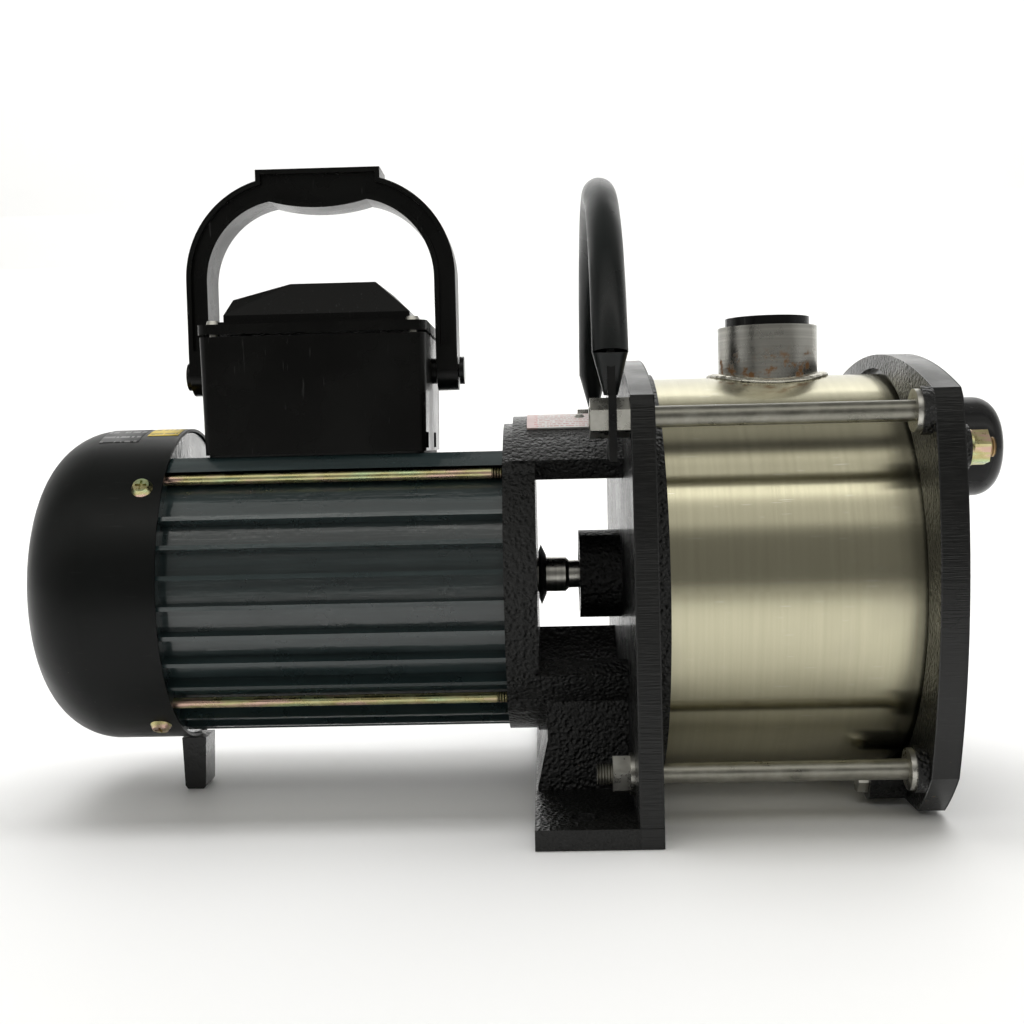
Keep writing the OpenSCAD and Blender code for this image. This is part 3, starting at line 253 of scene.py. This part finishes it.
def plated(name, dark, light, tint=None, thread=None, rough=0.28):
    """Plated steel, with a span of X that shows a thread's ridges, if thread gives one."""
    p = Paint(name, metal=1.0)
    cloud = p.noise(120.0, 4.0, 0.6)
    colour = p.ramp(cloud, (0.3, dark), (0.7, light))
    if tint:
        hue = p.noise(1.0, 3.0, 0.5, p.stretch(45.0, 260.0, 260.0))
        colour = p.mix(p.span(hue, 0.5, 0.68), colour, tint[0])
        colour = p.mix(p.span(hue, 0.5, 0.36), colour, tint[1])
    drawn = p.noise(1.0, 3.0, 0.6, p.stretch(25.0, 2600.0, 2600.0))
    normal = p.bump(drawn, 0.22, 0.03)
    if thread:
        ridge = p.times(p.calc("PINGPONG", p.x, 0.55 * MM), 1.0 / MM)
        inside = p.times(p.calc("GREATER_THAN", p.x, thread[0]), p.calc("LESS_THAN", p.x, thread[1]))
        normal = p.bump(p.times(ridge, inside), 1.0, 1.1, normal)
        root = p.times(inside, p.span(ridge, 0.0, 0.3, 0.85, 0.0))
        colour = p.mix(root, colour, (0.06, 0.045, 0.03))
    return p.finish(colour, p.span(cloud, 0.3, 0.7, rough - 0.08, rough + 0.1), normal)


def stainless():
    """Sheet brushed round the shaft axis, with faint stains and scratches."""
    p = Paint("stainless_brushed", metal=1.0, Anisotropic=0.85, Anisotropic_Rotation=0.25)
    angle = p.calc("ARCTAN2", p.calc("SUBTRACT", p.z, AXIS_Z), p.y)
    hair = p.noise(1.0, 5.0, 0.7, p.vector(p.times(p.x, 5200.0), p.times(angle, 1.6), 0.0))
    band = p.noise(1.0, 3.0, 0.5, p.vector(p.times(p.x, 420.0), p.times(angle, 0.7), 3.0))
    cloud = p.noise(16.0, 5.0, 0.62)
    colour = p.ramp(band, (0.3, (0.535, 0.505, 0.36)), (0.7, (0.59, 0.56, 0.405)))
    colour = p.mix(p.span(hair, 0.35, 0.75, 0.0, 0.1), colour, (0.36, 0.34, 0.23))
    stain = p.span(cloud, 0.55, 0.75, 0.0, 0.25)
    colour = p.mix(stain, colour, (0.4, 0.37, 0.29))
    thin = p.vector(p.times(p.x, 90.0), p.times(p.z, 1900.0), 0.0)
    scratch = p.span(p.noise(1.0, 1.0, 0.4, thin), 0.72, 0.75)
    colour = p.mix(p.times(scratch, 0.35), colour, (0.85, 0.84, 0.8))
    rough = p.span(p.calc("ADD", p.times(hair, 0.6), p.times(cloud, 0.4)), 0.3, 0.7, 0.17, 0.25)
    tangent = p.node("ShaderNodeTangent", {"direction_type": "RADIAL", "axis": "X"})
    p.put(p.shader.inputs["Tangent"], tangent.outputs[0])
    return p.finish(colour, rough, p.bump(hair, 0.07, 0.02))


def turned(name, upright=False):
    """Turned steel with fine rings: bright about X, or upright and rusted above a weld."""
    p = Paint(name, metal=1.0)
    along = p.z if upright else p.x
    rings = p.noise(1.0, 4.0, 0.65, p.vector(p.times(along, 5200.0), 1.0, 0.0))
    broad = p.noise(1.0, 2.0, 0.5, p.vector(p.times(along, 700.0), 4.0, 0.0))
    cloud = p.noise(70.0, 4.0)
    both = p.calc("ADD", p.times(rings, 0.5), p.times(broad, 0.5))
    colour = p.ramp(both, (0.35, (0.36, 0.3528, 0.324)), (0.65, (0.625, 0.6125, 0.5625)))
    rough = p.span(cloud, 0.3, 0.7, 0.2, 0.36)
    if upright:
        spot = p.noise(150.0, 5.0, 0.7)
        near_weld = p.span(p.z, WELD_Z[0], WELD_Z[1], 1.0, 0.0)
        mask = p.times(p.span(spot, 0.5, 0.62), near_weld)
        colour = p.mix(p.times(mask, 0.85), colour, (0.32, 0.14, 0.03))
        rough = p.calc("ADD", rough, p.times(mask, 0.35))
    return p.finish(colour, rough, p.bump(rings, 0.3, 0.03))


def rubber(name, tone, rough=0.42):
    p = Paint(name, Specular_IOR_Level=0.3)
    cloud = p.noise(45.0, 4.0)
    colour = p.ramp(cloud, (0.3, tuple(0.75 * c for c in tone)), (0.75, tuple(1.35 * c for c in tone)))
    return p.finish(colour, p.span(cloud, 0.3, 0.7, rough - 0.06, rough + 0.1),
                    p.bump(p.noise(700.0, 3.0), 0.1, 0.04))


def plain_metal(name, low, high, rough, metal=1.0, scale=150.0):
    p = Paint(name, metal=metal)
    cloud = p.noise(scale, 4.0)
    colour = p.ramp(cloud, (0.3, low), (0.72, high))
    return p.finish(colour, p.span(cloud, 0.3, 0.7, rough - 0.08, rough + 0.1),
                    p.bump(p.noise(1400.0, 2.0), 0.15, 0.03))


def label_white():
    """A printed plate with generic bars where the print would be."""
    p = Paint("label_white", rough=0.35)
    rows = p.calc("PINGPONG", p.calc("ADD", p.y, 0.0003), 0.0011)
    row = p.calc("LESS_THAN", rows, 0.00045)
    words = p.calc("GREATER_THAN", p.noise(1.0, 1.0, 0.5, p.stretch(900.0, 450.0, 0.0)), 0.47)
    inside = p.times(p.calc("GREATER_THAN", p.x, -0.021), p.calc("LESS_THAN", p.x, 0.0035))
    ink = p.times(p.times(row, words), inside)
    red = p.calc("LESS_THAN", p.x, -0.0195)
    colour = p.mix(p.times(ink, 0.75), (0.5, 0.49, 0.47), (0.36, 0.05, 0.04))
    colour = p.mix(p.times(red, 0.25), colour, (0.55, 0.08, 0.08))
    grime = p.span(p.noise(300.0, 4.0), 0.55, 0.75, 0.0, 0.3)
    return p.finish(p.mix(grime, colour, (0.35, 0.33, 0.3)), p.span(p.noise(90.0), 0.3, 0.7, 0.28, 0.45),
                    p.bump(p.noise(900.0), 0.1, 0.03))


BRASSY = ((0.42, 0.36, 0.15), (0.7, 0.66, 0.36))
RAINBOW = ((0.5, 0.6, 0.34), (0.66, 0.45, 0.36))
SILVER = ((0.42, 0.41, 0.37), (0.62, 0.61, 0.56))
STEEL = ((0.2, 0.195, 0.165), (0.34, 0.33, 0.285))
# One material for each slot of the record
MATERIALS = {
    "motor_paint": slate_paint(),
    "cover_steel": cover_black(),
    "foot_steel": cast_black("foot_black", 0.35),
    "black_casting": plate_casting("lantern_casting", LANTERN_PLATE_X),
    "front_casting": plate_casting("front_casting", FRONT_PLATE_X),
    "box_plastic": plastic("box_plastic", (0.0022, 0.0022, 0.0019), 0.26),
    "handle_plastic": plastic("handle_plastic", (0.003, 0.0031, 0.0027), 0.28, worn=0.12),
    "plug_plastic": plastic("plug_plastic", (0.008, 0.008, 0.008), 0.2, 400.0, 0.05),
    "yellow_zinc": plated("yellow_zinc", BRASSY[0], BRASSY[1], RAINBOW),
    "bright_zinc": plated("bright_zinc", SILVER[0], SILVER[1], rough=0.3),
    "stainless": stainless(),
    "turned_steel": turned("turned_steel"),
    "weld_metal": plain_metal("weld_metal", (0.5, 0.48, 0.4), (0.7, 0.68, 0.6), 0.24, scale=260.0),
    "strap_steel": cast_black("strap_black", 0.2),
    "grip_rubber": rubber("grip_rubber", (0.0035, 0.005, 0.0048), 0.3),
    "seal_rubber": rubber("seal_rubber", (0.009, 0.009, 0.009), 0.5),
    "label": label_white(),
    "copper": plain_metal("copper_winding", (0.3, 0.1, 0.04), (0.55, 0.22, 0.1), 0.35),
    "laminations": plain_metal("laminations", (0.16, 0.16, 0.165), (0.3, 0.3, 0.31), 0.4),
    "bearing_steel": plain_metal("bearing_steel", (0.5, 0.5, 0.5), (0.7, 0.7, 0.7), 0.18),
    "ceramic": plain_metal("seal_ceramic", (0.7, 0.69, 0.64), (0.85, 0.84, 0.8), 0.2, 0.0),
    "carbon": plain_metal("seal_carbon", (0.02, 0.02, 0.02), (0.04, 0.04, 0.04), 0.35, 0.0),
    "hydraulic_plastic": plastic("hydraulic_plastic", (0.02, 0.02, 0.022), 0.4),
    "brass_part": plain_metal("brass_part", (0.45, 0.3, 0.1), (0.7, 0.52, 0.24), 0.25),
    "white_plastic": plastic("white_plastic", (0.5, 0.5, 0.47), 0.35),
}
LOWER_THREAD_X = (-0.05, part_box("rod_nuts")[1][0] + 0.003)
# Nodes that look different from the rest of their slot
SPECIAL = {
    "outlet_socket": turned("socket_steel", True),
    "upper_tie_rods": plated("rod_steel", STEEL[0], STEEL[1], thread=(0.118, 0.14), rough=0.34),
    "motor_tie_rods": plated("motor_rod_zinc", BRASSY[0], BRASSY[1], RAINBOW, (-0.0385, -0.02)),
    "inlet_studs": plated("stud_copper", (0.34, 0.2, 0.1), (0.6, 0.4, 0.22), None, (0.15, 0.18), 0.35),
    "lower_tie_rods": plated("low_rod_steel", STEEL[0], STEEL[1], thread=LOWER_THREAD_X, rough=0.34),
}
for entry in frame["record"]["subparts"]:
    piece = NODES[entry["node"]]
    chosen = SPECIAL.get(entry["node"], MATERIALS[entry["material_slot"]])
    for slot in piece.material_slots:
        slot.material = chosen


# ---------------------------------------------------------------- detail pieces
def piece_from(name, bm, material):
    """Turns a bmesh into a smooth piece that rides on the fixed body."""
    mesh = bpy.data.meshes.new(name)
    bmesh.ops.recalc_face_normals(bm, faces=bm.faces)
    bm.to_mesh(mesh)
    bm.free()
    for face in mesh.polygons:
        face.use_smooth = True
    made = bpy.data.objects.new(name, mesh)
    bpy.context.scene.collection.objects.link(made)
    mesh.materials.append(material)
    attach(made, "pump_frame")
    return made


def weld_bead():
    """The socket's fillet weld: overlapping ripples that follow the barrel's saddle."""
    socket_low, socket_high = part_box("outlet_socket")
    centre_x = (socket_low[0] + socket_high[0]) / 2
    socket_r = (socket_high[0] - socket_low[0]) / 2
    barrel_low, barrel_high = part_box("barrel")
    barrel_r = (barrel_high[2] - barrel_low[2]) / 2
    bm = bmesh.new()
    around, across = 288, 14
    rings = []
    for i in range(around):
        a = 2 * math.pi * i / around
        ripple = abs(math.sin(a * 15 + 0.9 * math.sin(3 * a) + 0.5 * math.sin(7 * a)))
        wander = 0.35 * math.sin(2 * a + 1.0) + 0.3 * math.sin(5 * a) + 0.2 * math.sin(11 * a)
        width = (3.3 + 0.2 * ripple + 0.8 * wander) * MM
        height = (1.7 + 0.16 * ripple + 0.35 * wander) * MM
        ring = []
        for j in range(across):
            b = 2 * math.pi * j / across
            r = socket_r + 0.2 * MM + width * (0.55 + 0.75 * math.cos(b))
            y = r * math.sin(a)
            saddle = math.sqrt(barrel_r ** 2 - y ** 2) + AXIS_Z
            z = saddle + height * (0.2 + math.sin(b)) * 0.8
            ring.append(bm.verts.new((centre_x + r * math.cos(a), y, z)))
        rings.append(ring)
    for i in range(around):
        one, two = rings[i], rings[(i + 1) % around]
        for j in range(across):
            k = (j + 1) % across
            bm.faces.new((one[j], one[k], two[k], two[j]))
    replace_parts(piece_from("weld_bead_ripples", bm, MATERIALS["weld_metal"]), "weld_bead")


def cover_label(name, x0, x1, from_up, to_up, material):
    """A thin sticker bent over the fan cover, between two angles from upright towards the near side."""
    thickness = 0.12 * MM
    low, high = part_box("fan_cover")
    radius = (high[2] - low[2]) / 2 + thickness
    bm = bmesh.new()
    steps = 24
    rows = []
    for x in (x0, x1):
        row = []
        for k in range(steps + 1):
            a = math.radians(from_up + (to_up - from_up) * k / steps)
            row.append(bm.verts.new((x, -radius * math.sin(a), AXIS_Z + radius * math.cos(a))))
        rows.append(row)
    for k in range(steps):
        bm.faces.new((rows[0][k], rows[0][k + 1], rows[1][k + 1], rows[1][k]))
    made = piece_from(name, bm, material)
    thick = made.modifiers.new("thickness", "SOLIDIFY")
    thick.thickness = thickness
    thick.offset = -1.0


def sticker(name, ground, ink, rows_per_metre):
    """A printed sticker with generic lines in place of its text."""
    p = Paint(name)
    line = p.calc("LESS_THAN", p.calc("PINGPONG", p.z, 0.5 / rows_per_metre), 0.16 / rows_per_metre)
    words = p.calc("GREATER_THAN", p.noise(1.0, 1.0, 0.5, p.stretch(700.0, 0.0, 300.0)), 0.48)
    colour = p.mix(p.times(p.times(line, words), 0.7), ground, ink)
    return p.finish(colour, p.span(p.noise(60.0), 0.3, 0.7, 0.3, 0.45), p.bump(p.noise(700.0), 0.1, 0.02))


weld_bead()
COVER_X1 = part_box("fan_cover")[1][0]
cover_label("rating_sticker", COVER_X1 - 0.033, COVER_X1 - 0.0165, 3.0, 23.0,
            sticker("sticker_grey", (0.035, 0.036, 0.036), (0.3, 0.3, 0.3), 500.0))
cover_label("notice_sticker", COVER_X1 - 0.0145, COVER_X1 - 0.0015, 3.0, 17.0,
            sticker("sticker_yellow", (0.72, 0.52, 0.03), (0.1, 0.07, 0.01), 600.0))


# ---------------------------------------------------------------- stage
def sweep_floor():
    """A pale floor that curves up behind the object, with painted shade that darkens it to grey in front.
    """
    mesh = bpy.data.meshes.new("floor")
    grid = bmesh.new()
    bend_y = 0.9
    bend_r = 0.5
    profile = [(-3.0, 0.0), (bend_y, 0.0)]
    for k in range(1, 11):
        a = math.radians(9 * k)
        profile.append((bend_y + bend_r * math.sin(a), bend_r - bend_r * math.cos(a)))
    profile.append((bend_y + bend_r, 2.6))
    rows = [[grid.verts.new((x, y, z - 0.2 * MM)) for x in (-3.0, 3.0)] for y, z in profile]
    for lower, upper in zip(rows, rows[1:]):
        grid.faces.new((lower[0], lower[1], upper[1], upper[0]))
    grid.to_mesh(mesh)
    floor = bpy.data.objects.new("floor", mesh)
    bpy.context.scene.collection.objects.link(floor)
    p = Paint("floor_pale_painted_front_shade", rough=0.6)
    pale = p.ramp(p.noise(3.0, 2.0), (0.3, (0.86, 0.86, 0.855)), (0.7, (0.88, 0.88, 0.875)))
    # painted shade: the floor's colour fades from pale to grey towards the camera, in front of the object
    mesh.materials.append(p.finish(p.mix(p.span(p.y, -0.7, -0.28), (0.5, 0.5, 0.49), pale)))


def wash_light(name, at, towards, size, power):
    """A soft lamp for the floor and the backdrop that no glossy surface mirrors."""
    data = bpy.data.lights.new(name, "AREA")
    data.shape = "RECTANGLE"
    data.size, data.size_y = size
    data.energy = power
    lamp = bpy.data.objects.new(name, data)
    bpy.context.scene.collection.objects.link(lamp)
    lamp.location = at
    lamp.rotation_euler = (Vector(towards) - Vector(at)).to_track_quat("-Z", "Y").to_euler()
    lamp.visible_glossy = False


def world_light():
    """A studio sky whose bands, by angle above the horizon in front, give the sheet its reflections."""
    world = bpy.data.worlds.new("studio")
    world.use_nodes = True
    bpy.context.scene.world = world
    w = Nodes(world.node_tree)
    place = w.node("ShaderNodeTexCoord").outputs["Generated"]
    x, y, z = w.node("ShaderNodeSeparateXYZ", Vector=place).outputs
    turn = w.calc("ARCTAN2", z, w.times(y, -1.0))
    part = w.calc("MULTIPLY_ADD", turn, 0.5 / math.pi, 0.5)
    # Angle above the horizon in front of the object, and the light that comes from there
    sky = [(-180, 0.6), (-12, 0.25), (0, 0.19), (24, 0.2), (29, 0.34), (32, 0.68), (42, 0.66), (46, 0.85),
           (49, 1.7), (54, 1.7), (57, 0.8), (68, 0.64), (71, 0.9), (74, 0.9), (77, 0.06), (83, 0.04),
           (87, 0.27), (94, 0.36), (110, 0.26), (122, 0.28), (136, 0.6), (180, 0.7)]
    stops = [(0.5 + degrees / 360.0, (tone, tone * 0.99, tone * 0.95)) for degrees, tone in sky]
    # The bands meet in a point at each end of the shaft axis, so plain light covers the ends
    aside = w.calc("ABSOLUTE", x)
    fade = w.node("ShaderNodeMapRange", Value=aside, From_Min=0.8, From_Max=0.95).outputs[0]
    w.put(w.tree.nodes["Background"].inputs["Color"], w.mix(fade, w.ramp(part, *stops), (0.5, 0.5, 0.49)))


def camera():
    """The photograph's view: close in front, looking a little down."""
    data = bpy.data.cameras.new("camera")
    data.sensor_width = 36.0
    data.lens = CAMERA_LENS
    data.clip_start = 0.01
    view = bpy.data.objects.new("camera", data)
    bpy.context.scene.collection.objects.link(view)
    aside, down, over = (math.radians(a) for a in CAMERA_TURN)
    turn = (Matrix.Rotation(aside, 4, "Z") @ Matrix.Rotation(math.pi / 2 - down, 4, "X")
            @ Matrix.Rotation(over, 4, "Z"))
    view.matrix_world = Matrix.Translation(CAMERA_AT) @ turn
    bpy.context.scene.camera = view


camera()
sweep_floor()
world_light()
wash_light("floor_wash", (0.0, 0.75, 2.0), (0.0, 0.45, 0.0), (2.4, 1.4), 30.0)
wash_light("backdrop_wash", (0.0, 0.1, 1.9), (0.0, 1.4, 0.6), (2.4, 0.8), 20.0)
bpy.context.scene.view_settings.view_transform = "Standard"
